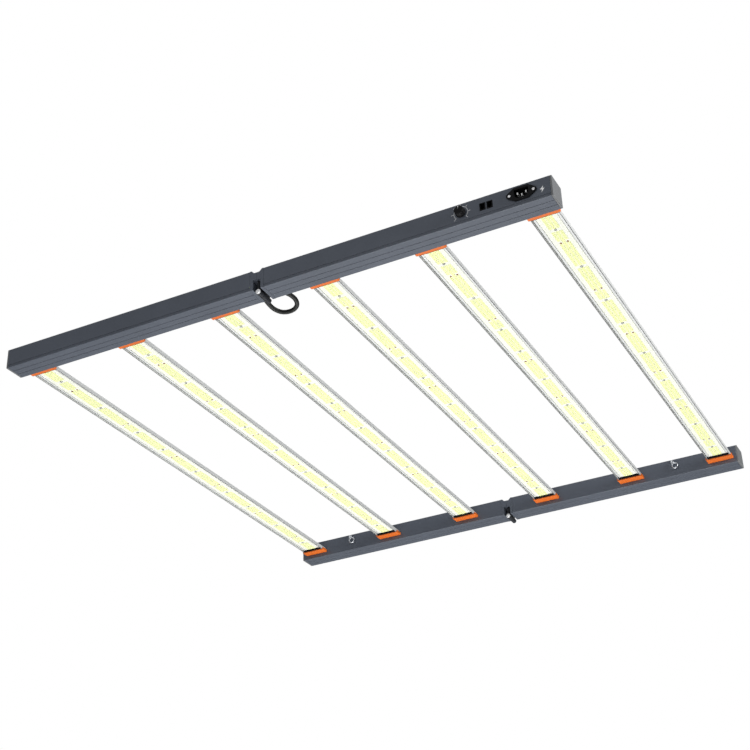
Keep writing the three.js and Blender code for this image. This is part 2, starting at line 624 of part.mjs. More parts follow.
// ---- jumper lead --------------------------------------------------------------
const LEAD_RADIUS = 4;
const GLAND_THREAD_RADIUS = 5.2;
const GLAND_THREAD = 8;
const GLAND_LENGTH = 9;
const GLAND_NUT_LENGTH = 5;
const GLAND_RADIUS = 7;
const GLAND_CHAMFER = 1;

// A gland screwed into the near rail's inner face, with a bore for the lead.
function gland() {
  const bore = LEAD_RADIUS + GAP;
  const start = NEAR_INNER - GLAND_THREAD;
  const end = NEAR_INNER + GLAND_LENGTH;
  const shoulder = end - 1.4 * GLAND_CHAMFER;
  const profile = [[bore, start], [GLAND_THREAD_RADIUS, start], [GLAND_THREAD_RADIUS, NEAR_INNER + GAP],
    [GLAND_RADIUS, NEAR_INNER + GAP], [GLAND_RADIUS, NEAR_INNER + GLAND_NUT_LENGTH],
    [GLAND_RADIUS - GLAND_CHAMFER, shoulder], [bore + 0.8 * GLAND_CHAMFER, end], [bore, end], [bore, start]];
  return new THREE.LatheGeometry(profile.map(([radius, y]) => new THREE.Vector2(radius, y)), 16);
}

function addGlands() {
  for (const half of HALVES) {
    place(`lead_gland_${half.name}`, gland().translate(half.sign * GLAND_X, 0, GLAND_Z), blackPlastic);
  }
}

// The lead between the two halves: out of one gland, a drooping loop, into the other.
// Points are [x, y beyond the near rail's inner face, z above the rails' underside].
const LEAD_ROUTE = [[-19.5, -6, 19], [-19.5, 3, 19], [-19.5, 12, 19], [-19.7, 21, 18], [-20, 32, 16.4],
  [-18, 45, 13.6], [-10.5, 55.5, 11], [0.5, 60, 9.8], [14, 58.5, 10], [24.5, 50.5, 11.6],
  [28.5, 38, 14.2], [26.3, 26, 16.6], [21.6, 18, 18.4], [19.5, 12, 19], [19.5, 3, 19], [19.5, -6, 19]];
const LEAD_STEPS = 24;

function addLead() {
  const route = LEAD_ROUTE.map(([x, y, z]) => new THREE.Vector3(x, NEAR_INNER + y, RAIL_BOTTOM + z));
  const path = new THREE.CatmullRomCurve3(route, false, 'catmullrom', 0.5);
  place('jumper_lead', wire(path, LEAD_RADIUS, LEAD_STEPS), cableBlack);
}

// ---- hanging hooks ------------------------------------------------------------
const HOOK_WIRE = 1.3;
const HOOK_RING = 6;
const HOOK_OPENING = Math.PI / 5; // of the ring, left open beside the shank
const HOOK_STANDOFF = 6;          // from the rail's inner face to the middle of the wire
const HOOK_BEND = 3;
const HOOK_RING_Z = RAIL_BOTTOM + 21;
const HOOK_RIVET_Z = RAIL_BOTTOM + 33.4;
const HOOK_STEPS = 30;
const RIVET_RADIUS = 3.6;
const RIVET_HEIGHT = 1.8;

// The open ring of a hook, from its shank round the bottom and back up.
class HookRing extends THREE.Curve {
  constructor(x, y) {
    super();
    this.middle = new THREE.Vector3(x, y, HOOK_RING_Z);
  }

  getPoint(t, target = new THREE.Vector3()) {
    const turn = Math.PI + t * (2 * Math.PI - HOOK_OPENING);
    target.set(Math.cos(turn), 0, Math.sin(turn));
    return target.multiplyScalar(HOOK_RING).add(this.middle);
  }
}

// A pigtail hook: a shank riveted near the rail's top that ends in an open ring.
function hook(x, side) {
  const out = (distance) => side.inner + side.inward * distance;
  const point = (distance, z) => new THREE.Vector3(x - HOOK_RING, out(distance), z);
  const corner = point(HOOK_STANDOFF, HOOK_RIVET_Z);
  const bendStart = point(HOOK_STANDOFF - HOOK_BEND, HOOK_RIVET_Z);
  const bendEnd = point(HOOK_STANDOFF, HOOK_RIVET_Z - HOOK_BEND);
  const path = new THREE.CurvePath();
  path.add(new THREE.LineCurve3(point(1, HOOK_RIVET_Z), bendStart));
  path.add(new THREE.QuadraticBezierCurve3(bendStart, corner, bendEnd));
  path.add(new THREE.LineCurve3(bendEnd, point(HOOK_STANDOFF, HOOK_RING_Z)));
  path.add(new HookRing(x, out(HOOK_STANDOFF)));
  const ends = ordered(out(GAP), out(RIVET_HEIGHT));
  const rivet = rodY(RIVET_RADIUS, x - HOOK_RING, HOOK_RIVET_Z, ...ends, 12);
  return combine(rivet, [wire(path, HOOK_WIRE, HOOK_STEPS)]);
}

function addHooks() {
  for (const side of SIDES) {
    for (const half of HALVES) {
      place(`${side.name}_hanging_hook_${half.name}`, hook(half.sign * HOOK_X, side), steel);
    }
  }
}

addRails();
addEndCaps();
addHinges();
addBars();
addBrackets();
addDrivers();
addInlet();
addJacks();
addDimmer();
addGlands();
addLead();
addHooks();

export default light;
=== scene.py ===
"""Folding LED grow light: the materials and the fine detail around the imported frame.

Metres, in the frame's own axes: X runs along the two rails, Y from the near rail to the
far one, and Z up.  The light hangs above a pale floor and is seen from below.
"""

import math

import bpy
from mathutils import Matrix, Vector


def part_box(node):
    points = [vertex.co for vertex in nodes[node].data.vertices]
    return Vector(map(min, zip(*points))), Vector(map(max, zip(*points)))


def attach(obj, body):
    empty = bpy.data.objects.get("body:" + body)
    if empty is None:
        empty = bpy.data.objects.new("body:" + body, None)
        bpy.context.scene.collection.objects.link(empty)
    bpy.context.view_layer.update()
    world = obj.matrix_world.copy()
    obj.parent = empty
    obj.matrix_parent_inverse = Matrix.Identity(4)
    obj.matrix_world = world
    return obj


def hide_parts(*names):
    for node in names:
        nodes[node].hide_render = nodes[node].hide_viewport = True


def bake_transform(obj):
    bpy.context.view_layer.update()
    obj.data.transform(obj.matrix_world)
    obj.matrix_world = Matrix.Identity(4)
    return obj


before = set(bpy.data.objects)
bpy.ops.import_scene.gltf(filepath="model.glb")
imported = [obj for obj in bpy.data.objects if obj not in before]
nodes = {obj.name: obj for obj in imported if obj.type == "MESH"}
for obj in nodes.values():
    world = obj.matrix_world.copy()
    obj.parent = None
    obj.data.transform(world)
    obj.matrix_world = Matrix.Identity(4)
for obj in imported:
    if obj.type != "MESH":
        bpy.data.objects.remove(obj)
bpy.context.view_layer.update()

MM = 0.001
SIDES = ("near", "far")
HALVES = {"left": -1, "right": 1}
BARS = range(1, 7)


# ---- places, from the frame ---------------------------------------------------------

def middle(low, high):
    return (low + high) / 2


NEAR_LOW, NEAR_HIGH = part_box("near_rail_right")
FAR_LOW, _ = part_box("far_rail_right")
RAIL_BOTTOM = NEAR_LOW.z
NEAR_FACE, NEAR_INNER = NEAR_LOW.y, NEAR_HIGH.y
FAR_INNER = FAR_LOW.y
RAIL_FRONT = {"near": NEAR_FACE, "far": FAR_INNER}
RAIL_INNER = {"near": NEAR_INNER, "far": FAR_INNER}
INWARD = {"near": 1, "far": -1}


def half_of(bar):
    return "left_half" if bar <= len(BARS) // 2 else "right_half"


# ---- camera, lights and floor -------------------------------------------------------

CAMERA_PLACE = Vector((1.0627, -2.2574, -1.2904))
CAMERA_TARGET = Vector((-0.0317, -0.0564, 0.0925))
CAMERA_ROLL = math.radians(1.95)
CAMERA_LENS = 69.1
FLOOR_SIZE = 30
FLOOR_DROP = 2.3
FLOOR_PALE = (0.88, 0.88, 0.87)
FLOOR_DEEP = (0.84, 0.84, 0.83)
FLOOR_GLOW = 0.3
AMBIENT = 0.28
AMBIENT_COLOUR = (0.96, 0.98, 1, 1)
BACKDROP_COLOUR = (1, 1, 1, 1)
# Each lamp's name, place, diameter and power.  All of them point at the origin.
LAMPS = (("from_below", (-0.1, 0.15, -2.0), 2.0, 44),
         ("from_the_front", (-0.4, -3.4, 0.4), 1.6, 20),
         ("from_the_right", (3.2, -0.6, 0.5), 1.4, 84),
         ("from_above", (-0.8, 0.8, 2.6), 1.8, 34))


def add_camera():
    camera = bpy.data.objects.new("camera", bpy.data.cameras.new("camera"))
    camera.data.lens = CAMERA_LENS
    look = (CAMERA_TARGET - CAMERA_PLACE).to_track_quat("-Z", "Y").to_matrix().to_4x4()
    roll = Matrix.Rotation(-CAMERA_ROLL, 4, "Z")
    camera.matrix_world = Matrix.Translation(CAMERA_PLACE) @ look @ roll
    bpy.context.scene.collection.objects.link(camera)
    bpy.context.scene.camera = camera


def add_light(name, place, size, power):
    data = bpy.data.lights.new(name, "AREA")
    data.shape = "DISK"
    data.size = size
    data.energy = power
    lamp = bpy.data.objects.new(name, data)
    lamp.location = Vector(place)
    lamp.rotation_euler = (-Vector(place)).to_track_quat("-Z", "Y").to_euler()
    bpy.context.scene.collection.objects.link(lamp)


def add_world():
    """White where the camera looks past the light, and a softer grey as a source of light."""
    world = bpy.data.worlds.new("studio")
    world.use_nodes = True
    tree = world.node_tree
    seen = tree.nodes["Background"]
    seen.inputs["Color"].default_value = BACKDROP_COLOUR
    ambient = tree.nodes.new("ShaderNodeBackground")
    ambient.inputs["Color"].default_value = AMBIENT_COLOUR
    ambient.inputs["Strength"].default_value = AMBIENT
    chooser = tree.nodes.new("ShaderNodeMixShader")
    path = tree.nodes.new("ShaderNodeLightPath")
    tree.links.new(path.outputs["Is Camera Ray"], chooser.inputs["Fac"])
    tree.links.new(ambient.outputs["Background"], chooser.inputs[1])
    tree.links.new(seen.outputs["Background"], chooser.inputs[2])
    tree.links.new(chooser.outputs["Shader"], tree.nodes["World Output"].inputs["Surface"])
    bpy.context.scene.world = world


def add_studio():
    add_world()
    bpy.context.scene.view_settings.view_transform = "Standard"
    for lamp in LAMPS:
        add_light(*lamp)


def floor_paint():
    """Pale matt paint, brighter to the camera than the light that it throws back."""
    surface = Surface("floor_paint", 0.8)
    surface.colour_from(surface.between(surface.noise(14, 4), FLOOR_DEEP, FLOOR_PALE))
    seen = surface.node("ShaderNodeLightPath").outputs["Is Camera Ray"]
    surface.link(surface.spread(seen, 0, FLOOR_GLOW), surface.shader.inputs["Emission Strength"])
    return surface.material


def add_floor():
    bpy.ops.mesh.primitive_plane_add(size=FLOOR_SIZE, location=(0, 0, -FLOOR_DROP))
    floor = bpy.context.object
    floor.name = "floor"
    floor.data.materials.append(floor_paint())


# ---- materials ----------------------------------------------------------------------

# Nearly all values of a noise lie between these two.
NOISE_LOW = 0.3
NOISE_HIGH = 0.7


class Surface:
    """A node material under construction: one principled shader and what feeds it."""

    def __init__(self, name, roughness, metallic=0.0):
        self.material = bpy.data.materials.new(name)
        self.material.use_nodes = True
        self.tree = self.material.node_tree
        self.shader = self.tree.nodes["Principled BSDF"]
        self.shader.inputs["Metallic"].default_value = metallic
        self.shader.inputs["Roughness"].default_value = roughness
        self.place = self.node("ShaderNodeTexCoord").outputs["Object"]

    def node(self, kind, **values):
        made = self.tree.nodes.new(kind)
        for key, value in values.items():
            if key in made.inputs:
                made.inputs[key].default_value = value
            else:
                setattr(made, key, value)
        return made

    def link(self, out, into):
        self.tree.links.new(out, into)

    def noise(self, scale, detail, stretch=(1, 1, 1)):
        """Noise with about `scale` features in a metre, and fewer along an axis with a small stretch."""
        mapping = self.node("ShaderNodeMapping")
        mapping.inputs["Scale"].default_value = stretch
        self.link(self.place, mapping.inputs["Vector"])
        made = self.node("ShaderNodeTexNoise", Scale=scale, Detail=detail)
        self.link(mapping.outputs["Vector"], made.inputs["Vector"])
        return made.outputs["Fac"]

    def ramp(self, factor, stops):
        """A colour for each (position, colour) stop of a factor."""
        made = self.node("ShaderNodeValToRGB")
        elements = made.color_ramp.elements
        while len(elements) < len(stops):
            elements.new(0.5)
        for element, (position, colour) in zip(elements, stops):
            element.position = position
            element.color = (*colour, 1)
        self.link(factor, made.inputs["Fac"])
        return made.outputs["Color"]

    def between(self, noise, deep, pale):
        """A colour that drifts with the noise from deep to pale."""
        return self.ramp(noise, [(NOISE_LOW, deep), (NOISE_HIGH, pale)])

    def mix(self, factor, a, b):
        """A blend of two colours, each of them a value or another node's output."""
        made = self.node("ShaderNodeMix", data_type="RGBA")
        for value, socket in ((factor, made.inputs[0]), (a, made.inputs[6]), (b, made.inputs[7])):
            if isinstance(value, bpy.types.NodeSocket):
                self.link(value, socket)
            else:
                socket.default_value = value
        return made.outputs[2]

    def spread(self, factor, low, high):
        """A number that runs with the noise from low to high."""
        made = self.node("ShaderNodeMapRange")
        made.inputs["From Min"].default_value = NOISE_LOW
        made.inputs["From Max"].default_value = NOISE_HIGH
        made.inputs["To Min"].default_value = low
        made.inputs["To Max"].default_value = high
        self.link(factor, made.inputs["Value"])
        return made.outputs["Result"]

    def colour_from(self, out):
        self.link(out, self.shader.inputs["Base Color"])

    def roughness_from(self, out):
        self.link(out, self.shader.inputs["Roughness"])

    def bump(self, height, distance, strength, edge=0.0):
        """Fine relief, and edges that look rounded where `edge` is their radius."""
        made = self.node("ShaderNodeBump")
        made.inputs["Strength"].default_value = strength
        made.inputs["Distance"].default_value = distance
        self.link(height, made.inputs["Height"])
        if edge:
            bevel = self.node("ShaderNodeBevel")
            bevel.samples = 4
            bevel.inputs["Radius"].default_value = edge
            self.link(bevel.outputs["Normal"], made.inputs["Normal"])
        self.link(made.outputs["Normal"], self.shader.inputs["Normal"])


def shade(colour, share):
    return tuple(min(1.0, channel * share) for channel in colour)


def painted(name, colour, roughness, drift=0.06, grain=900, height=0.04 * MM, edge=0.0, metallic=0.0,
            shine=0.5):
    """Paint, moulded plastic or pale plating: a slow drift in colour, and a fine grain over it."""
    surface = Surface(name, roughness, metallic)
    surface.shader.inputs["Specular IOR Level"].default_value = shine
    pale, deep = shade(colour, 1 + drift), shade(colour, 1 - drift)
    surface.colour_from(surface.between(surface.noise(14, 4), deep, pale))
    rougher = min(1, roughness * 1.12)
    surface.roughness_from(surface.spread(surface.noise(60, 3), roughness * 0.9, rougher))
    surface.bump(surface.noise(grain, 2), height, 0.6, edge)
    return surface.material


def powder_coat():
    """Slate powder coat: an orange-peel skin with a faint metallic speckle in it."""
    base = (0.080, 0.092, 0.117)
    surface = Surface("slate_powder_coat", 0.42, 0.1)
    slow = surface.between(surface.noise(6, 4), shade(base, 0.93), shade(base, 1.07))
    speckle = surface.ramp(surface.noise(2600, 1), [(0.62, (0, 0, 0)), (0.74, (1, 1, 1))])
    surface.colour_from(surface.mix(speckle, slow, (*shade(base, 1.5), 1)))
    surface.roughness_from(surface.spread(surface.noise(40, 3), 0.36, 0.47))
    surface.bump(surface.noise(700, 3), 0.05 * MM, 0.5, edge=0.5 * MM)
    return surface.material


def anodised_aluminium():
    """Satin extrusion: fine drawing lines run the length of the bar."""
    surface = Surface("anodised_aluminium", 0.4, 0.2)
    lines = surface.noise(900, 4, stretch=(1, 0.004, 1))
    surface.colour_from(surface.between(lines, (0.69, 0.70, 0.69), (0.75, 0.76, 0.75)))
    surface.roughness_from(surface.spread(surface.noise(500, 2, stretch=(1, 0.01, 1)), 0.34, 0.48))
    surface.bump(lines, 0.01 * MM, 0.4)
    return surface.material


def brushed_steel(name, colour, roughness):
    """Plated steel with a fine random brush and slight stains."""
    surface = Surface(name, roughness, 1.0)
    stains = surface.noise(240, 3)
    surface.colour_from(surface.between(stains, shade(colour, 0.86), shade(colour, 1.06)))
    surface.roughness_from(surface.spread(surface.noise(1400, 3), roughness * 0.8, roughness * 1.3))
    surface.bump(surface.noise(3000, 2), 0.01 * MM, 0.5)
    return surface.material


def board_mask():
    """White solder mask, a little uneven where copper runs under it."""
    surface = Surface("white_solder_mask", 0.38)
    cloud = surface.noise(90, 3)
    surface.colour_from(surface.between(cloud, (0.83, 0.84, 0.74), (0.88, 0.89, 0.79)))
    surface.bump(surface.noise(160, 1, stretch=(1, 0.12, 1)), 0.06 * MM, 0.4)
    return surface.material


def phosphor():
    """The yellow silicone in a white LED, slightly uneven."""
    surface = Surface("led_phosphor", 0.3)
    cloud = surface.noise(420, 2)
    surface.colour_from(surface.between(cloud, (0.86, 0.92, 0.40), (0.90, 0.94, 0.45)))
    surface.bump(surface.noise(2200, 2), 0.04 * MM, 0.5)
    return surface.material


def rubber():
    """Black cable jacket with a soft sheen and fine drawn lines."""
    surface = Surface("cable_jacket", 0.5)
    surface.shader.inputs["Specular IOR Level"].default_value = 0.3
    dust = surface.noise(300, 4)
    surface.colour_from(surface.between(dust, (0.009, 0.010, 0.009), (0.018, 0.019, 0.018)))
    surface.roughness_from(surface.spread(surface.noise(120, 3), 0.44, 0.58))
    surface.bump(surface.noise(1500, 3), 0.03 * MM, 0.5)
    return surface.material


SLATE = powder_coat()
CAP_GREY = painted("cap_plastic", (0.155, 0.16, 0.165), 0.6, drift=0.03, grain=1200, edge=0.5 * MM)
ORANGE = painted("orange_plastic", (0.70, 0.142, 0.012), 0.45, drift=0.04, grain=1500, edge=0.5 * MM)
ALUMINIUM = anodised_aluminium()
HINGE_PAINT = painted("hinge_paint", (0.02, 0.022, 0.027), 0.4, grain=1200, shine=0.3)
# Pale plated steel, painted near white: its own pale colour with a painted highlight over it.
PIN_SHEEN_WHITE = painted("pin_painted_sheen", (0.96, 0.96, 0.97), 0.25, drift=0.02, height=0.01 * MM, metallic=0.3)
HOOK_STEEL = brushed_steel("zinc_wire", (0.66, 0.68, 0.71), 0.32)
SCREW_STEEL = painted("screw_steel", (0.93, 0.93, 0.94), 0.25, drift=0.04, height=0.01 * MM, metallic=0.3)
DULL_STEEL = brushed_steel("dull_steel", (0.34, 0.34, 0.36), 0.35)
BOARD_SCREW = painted("board_screw", (0.50, 0.50, 0.48), 0.35, drift=0.08, height=0.01 * MM, metallic=0.4)
CONTACT = painted("tinned_contact", (0.90, 0.90, 0.89), 0.3, drift=0.05, height=0.01 * MM, metallic=0.3)
MASK_WHITE = board_mask()
PACKAGE_WHITE = painted("led_package", (0.90, 0.92, 0.62), 0.45, drift=0.02)
PHOSPHOR = phosphor()
RED_LENS = painted("deep_red_lens", (0.22, 0.02, 0.02), 0.3, drift=0.12)
BLACK_PLASTIC = painted("black_plastic", (0.004, 0.004, 0.005), 0.5, drift=0.2, grain=1600, shine=0.15)
# Black for the painted shade in the gap at each end of a bar.
SHADE_STRIP_BLACK = painted("painted_shade_strip", (0.006, 0.006, 0.007), 0.8, drift=0.2, height=0.1 * MM, shine=0.1)
# Dark grey for the painted shade along the foot of each bar's lips.
LIP_SHADE_GREY = painted("painted_lip_shade", (0.20, 0.20, 0.205), 0.8, drift=0.1, height=0.01 * MM, shine=0.2)
DRIVER_METAL = painted("driver_case", (0.38, 0.39, 0.385), 0.45, metallic=0.5)
RUBBER = rubber()
INK = painted("white_ink", (0.96, 0.96, 0.96), 0.6, drift=0.05, grain=2500)


# ---- mesh building ------------------------------------------------------------------

class Shell:
    """The points and faces of one piece, gathered before they become a mesh."""

    def __init__(self):
        self.points = []
        self.faces = []
        self.slots = []

    def add(self, points, faces, slot=0):
        base = len(self.points)
        self.points.extend(tuple(point) for point in points)
        self.faces.extend([base + corner for corner in face] for face in faces)
        self.slots.extend([slot] * len(faces))

    def piece(self, name, materials, smooth=35.0):
        mesh = bpy.data.meshes.new(name)
        mesh.from_pydata(self.points, [], self.faces)
        for material in materials:
            mesh.materials.append(material)
        mesh.polygons.foreach_set("material_index", self.slots)
        mesh.shade_smooth()
        mesh.set_sharp_from_angle(angle=math.radians(smooth))
        made = bpy.data.objects.new(name, mesh)
        bpy.context.scene.collection.objects.link(made)
        return made


def loft(shell, rings, slot=0, closed=False):
    """Quads between rings of equal length, capped at both ends unless the loft is closed."""
    count = len(rings[0])
    faces = []
    last = len(rings) if closed else len(rings) - 1
    for ring in range(last):
        here, there = ring * count, (ring + 1) % len(rings) * count
        for corner in range(count):
            after = (corner + 1) % count
            faces.append([here + corner, here + after, there + after, there + corner])
    if not closed:
        faces.append(list(reversed(range(count))))
        faces.append([len(rings) * count - count + corner for corner in range(count)])
    shell.add([point for ring in rings for point in ring], faces, slot)


def frame_along(direction):
    """Two directions across a line, which with it make a right-handed set."""
    along = Vector(direction).normalized()
    helper = Vector((0, 0, 1)) if abs(along.z) < 0.9 else Vector((1, 0, 0))
    across = helper.cross(along).normalized()
    return across, along.cross(across), along


def circle(centre, across, up, radius, sides):
    turns = [2 * math.pi * side / sides for side in range(sides)]
    return [centre + across * radius * math.cos(turn) + up * radius * math.sin(turn) for turn in turns]


def turned(shell, profile, centre, direction, sides, closed=False):
    """A turned piece: the profile gives (radius, distance along) from one end to the other."""
    across, up, along = frame_along(direction)
    centre = Vector(centre)
    rings = [circle(centre + along * distance, across, up, radius, sides) for radius, distance in profile]
    loft(shell, rings, closed=closed)


def cut_rectangle(left, front, right, back, cut):
    """A rectangle with its corners cut off, counter-clockwise."""
    return [(right - cut, front), (right, front + cut), (right, back - cut), (right - cut, back),
            (left + cut, back), (left, back - cut), (left, front + cut), (left + cut, front)]


def block(shell, low, high, edge, slot=0):
    """A box with chamfered edges all round."""
    low, high = Vector(low), Vector(high)

    def ring(inset, height):
        outline = cut_rectangle(low.x + inset, low.y + inset, high.x - inset, high.y - inset, edge)
        return [Vector((x, y, height)) for x, y in outline]

    heights = ((edge, low.z), (0, low.z + edge), (0, high.z - edge), (edge, high.z))
    loft(shell, [ring(inset, height) for inset, height in heights], slot)


def sweep(shell, path, radius, sides):
    """A round rod along a path, its section carried along without twisting."""
    last = len(path) - 1
    across, _, _ = frame_along(path[1] - path[0])
    rings = []
    for index, point in enumerate(path):
        tangent = path[min(index + 1, last)] - path[max(index - 1, 0)]
        tangent.normalize()
        across = (across - tangent * across.dot(tangent)).normalized()
        up = tangent.cross(across)
        rings.append(circle(point, across, up, radius, sides))
    loft(shell, rings)


# ---- screws -------------------------------------------------------------------------

# Shares of the head's radius or height.
CROSS_ARM = 0.62
CROSS_HALF = 0.17
CROSS_RIM = 0.64
CROSS_FLOOR = 0.8
CROSS_DEPTH = 0.65
HEAD_DOME = ((0.0, 1.0), (0.35, 1.0), (0.7, 0.93), (0.9, 0.8))
SCREW_SIDES = 24


def cross_outline(radius):
    """The outline of a cross recess, as one radius for each of the head's corners."""
    outline = []
    for side in range(SCREW_SIDES):
        turn = 2 * math.pi * side / SCREW_SIDES
        c, s = max(abs(math.cos(turn)), 1e-6), max(abs(math.sin(turn)), 1e-6)
        arm, half = CROSS_ARM * radius, CROSS_HALF * radius
        outline.append(max(min(arm / c, half / s), min(half / c, arm / s)))
    return outline


def pan_screw(shell, centre, direction, radius, height):
    """A pan head that stands out along `direction`, with a cross recess in its top."""
    across, up, along = frame_along(direction)
    centre = Vector(centre)
    recess = cross_outline(radius)

    def ring(distance, radii):
        turns = [2 * math.pi * side / SCREW_SIDES for side in range(SCREW_SIDES)]
        base = centre + along * distance
        return [base + across * r * math.cos(t) + up * r * math.sin(t) for r, t in zip(radii, turns)]

    rings = [ring(height * level, [radius * share] * SCREW_SIDES) for level, share in HEAD_DOME]
    rings.append(ring(height, [max(r, radius * CROSS_RIM) for r in recess]))
    rings.append(ring(height, recess))
    rings.append(ring(height * (1 - CROSS_DEPTH), [r * CROSS_FLOOR for r in recess]))
    loft(shell, rings)


# ---- LED boards ---------------------------------------------------------------------

BOARDS_ON_A_BAR = 3
BOARD_SEAM = 0.1 * MM
BOARD_EDGE = 0.1 * MM
SCREW_PLACES = (-120 * MM, 0.0, 120 * MM)
RED_PLACES = (-80 * MM, 80 * MM)
RED_ROWS = (-5.9 * MM, 5.9 * MM)
LED_ROWS = (-6.6 * MM, 0.0, 6.6 * MM)
MIDDLE_ROW = LED_ROWS[1:2]
LED_PITCH = 4.1 * MM
LED_SIZE = (5.8 * MM, 3.8 * MM)
LED_HEIGHT = 0.4 * MM
WINDOW_SIZE = (5.3 * MM, 3.3 * MM)
WINDOW_DEPTH = 0.12 * MM
CLEAR_OF_SCREW = 4.3 * MM
CLEAR_OF_RED = 4.3 * MM
RED_SIZE = (3.6 * MM, 3.6 * MM)
RED_WINDOW = (3.2 * MM, 3.2 * MM)
BOARD_SCREW_RADIUS = 2.6 * MM
BOARD_SCREW_HEIGHT = 1.5 * MM
PACKAGE_SLOT, PHOSPHOR_SLOT, RED_SLOT = range(3)


def board_middles(bar):
    """Where the middle of each of a bar's boards lies along Y, and the length of one board."""
    low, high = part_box(f"led_board_{bar}")
    length = (high.y - low.y) / BOARDS_ON_A_BAR
    return [low.y + length * (board + 0.5) for board in range(BOARDS_ON_A_BAR)], length


def add_boards(bar):
    low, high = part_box(f"led_board_{bar}")
    middles, length = board_middles(bar)
    half = (length - BOARD_SEAM) / 2
    shell = Shell()
    for centre in middles:
        block(shell, (low.x, centre - half, low.z), (high.x, centre + half, high.z), BOARD_EDGE)
    boards = shell.piece(f"board_set_{bar}", [MASK_WHITE])
    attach(boards, half_of(bar))
    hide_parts(f"led_board_{bar}")


def led(shell, x, y, top, size, window, window_slot):
    """One LED package hanging from the board, with a sunk window in its face."""
    face = top - LED_HEIGHT

    def ring(width, length, z):
        w, d = width / 2, length / 2
        return [(x - w, y - d, z), (x + w, y - d, z), (x + w, y + d, z), (x - w, y + d, z)]

    points = ring(*size, top) + ring(*size, face) + ring(*window, face) + ring(*window, face + WINDOW_DEPTH)
    faces = [[0, 1, 2, 3]]
    for level in (0, 4, 8):
        for corner in range(4):
            after = (corner + 1) % 4
            faces.append([level + after, level + corner, level + 4 + corner, level + 4 + after])
    shell.add(points, faces, PACKAGE_SLOT)
    base = len(shell.points) - 4
    shell.faces.append([base + 3, base + 2, base + 1, base])
    shell.slots.append(window_slot)


def led_places(length):
    """Places (across, along) of the white LEDs on one board, clear of its screws and red LEDs."""
    columns = round(length / LED_PITCH)
    places = []
    for column in range(columns):
        y = (column + 0.5) * length / columns - length / 2
        rows = LED_ROWS
        if any(abs(y - red) < CLEAR_OF_RED for red in RED_PLACES):
            rows = MIDDLE_ROW
        if any(abs(y - screw) < CLEAR_OF_SCREW for screw in SCREW_PLACES):
            rows = ()
        places += [(row, y) for row in rows]
    return places


def add_leds(bar):
    low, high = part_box(f"led_board_{bar}")
    x = middle(low.x, high.x)
    middles, length = board_middles(bar)
    shell = Shell()
    for centre in middles:
        for row, y in led_places(length):
            led(shell, x + row, centre + y, low.z, LED_SIZE, WINDOW_SIZE, PHOSPHOR_SLOT)
        for y in RED_PLACES:
            for row in RED_ROWS:
                led(shell, x + row, centre + y, low.z, RED_SIZE, RED_WINDOW, RED_SLOT)
    leds = shell.piece(f"led_set_{bar}", [PACKAGE_WHITE, PHOSPHOR, RED_LENS], smooth=20)
    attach(leds, half_of(bar))


def add_board_screws(bar):
    low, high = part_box(f"led_board_{bar}")
    x = middle(low.x, high.x)
    middles, _ = board_middles(bar)
    shell = Shell()
    for centre in middles:
        for y in SCREW_PLACES:
            pan_screw(shell, (x, centre + y, low.z), (0, 0, -1), BOARD_SCREW_RADIUS, BOARD_SCREW_HEIGHT)
    screws = shell.piece(f"board_screws_{bar}", [BOARD_SCREW])
    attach(screws, half_of(bar))


# Sizes of the black strips that paint the shade at each end of a bar.
END_SHADE_LENGTH = 4 * MM
END_SHADE_PLAY = 0.1 * MM
END_SHADE_EDGE = 0.3 * MM
LIP_THICKNESS = 1.4 * MM
# Sizes of the dark strips that paint the shade under each lip.
LIP_SHADE_DEPTH = 0.12 * MM
LIP_SHADE_EDGE = 0.05 * MM


def add_end_shade_strips(bar):
    """Painted shade: a black strip across the bar's channel, for the dark gap between each bracket and the
    boards.
    """
    low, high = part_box(f"led_bar_{bar}")
    board_low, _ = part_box(f"led_board_{bar}")
    inset = LIP_THICKNESS + END_SHADE_PLAY
    for side in SIDES:
        bracket_low, bracket_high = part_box(f"{side}_bracket_{bar}")
        edge = bracket_high.y if side == "near" else bracket_low.y
        ends = sorted(edge + INWARD[side] * distance for distance in (END_SHADE_PLAY, END_SHADE_LENGTH))
        start = (low.x + inset, ends[0], low.z)
        end = (high.x - inset, ends[1], board_low.z)
        shell = Shell()
        block(shell, start, end, END_SHADE_EDGE)
        strip = shell.piece(f"{side}_end_shade_strip_{bar}", [SHADE_STRIP_BLACK])
        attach(strip, half_of(bar))


def add_lip_shade_strips(bar):
    """Painted shade: a thin dark strip along the foot of each of the bar's two lips."""
    low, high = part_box(f"led_bar_{bar}")
    shell = Shell()
    for left, right in ((low.x, low.x + LIP_THICKNESS), (high.x - LIP_THICKNESS, high.x)):
        start = (left, low.y, low.z - LIP_SHADE_DEPTH)
        end = (right, high.y, low.z + LIP_SHADE_DEPTH)
        block(shell, start, end, LIP_SHADE_EDGE)
    shade_strips = shell.piece(f"lip_shade_strips_{bar}", [LIP_SHADE_GREY])
    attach(shade_strips, half_of(bar))


# ---- hinges -------------------------------------------------------------------------

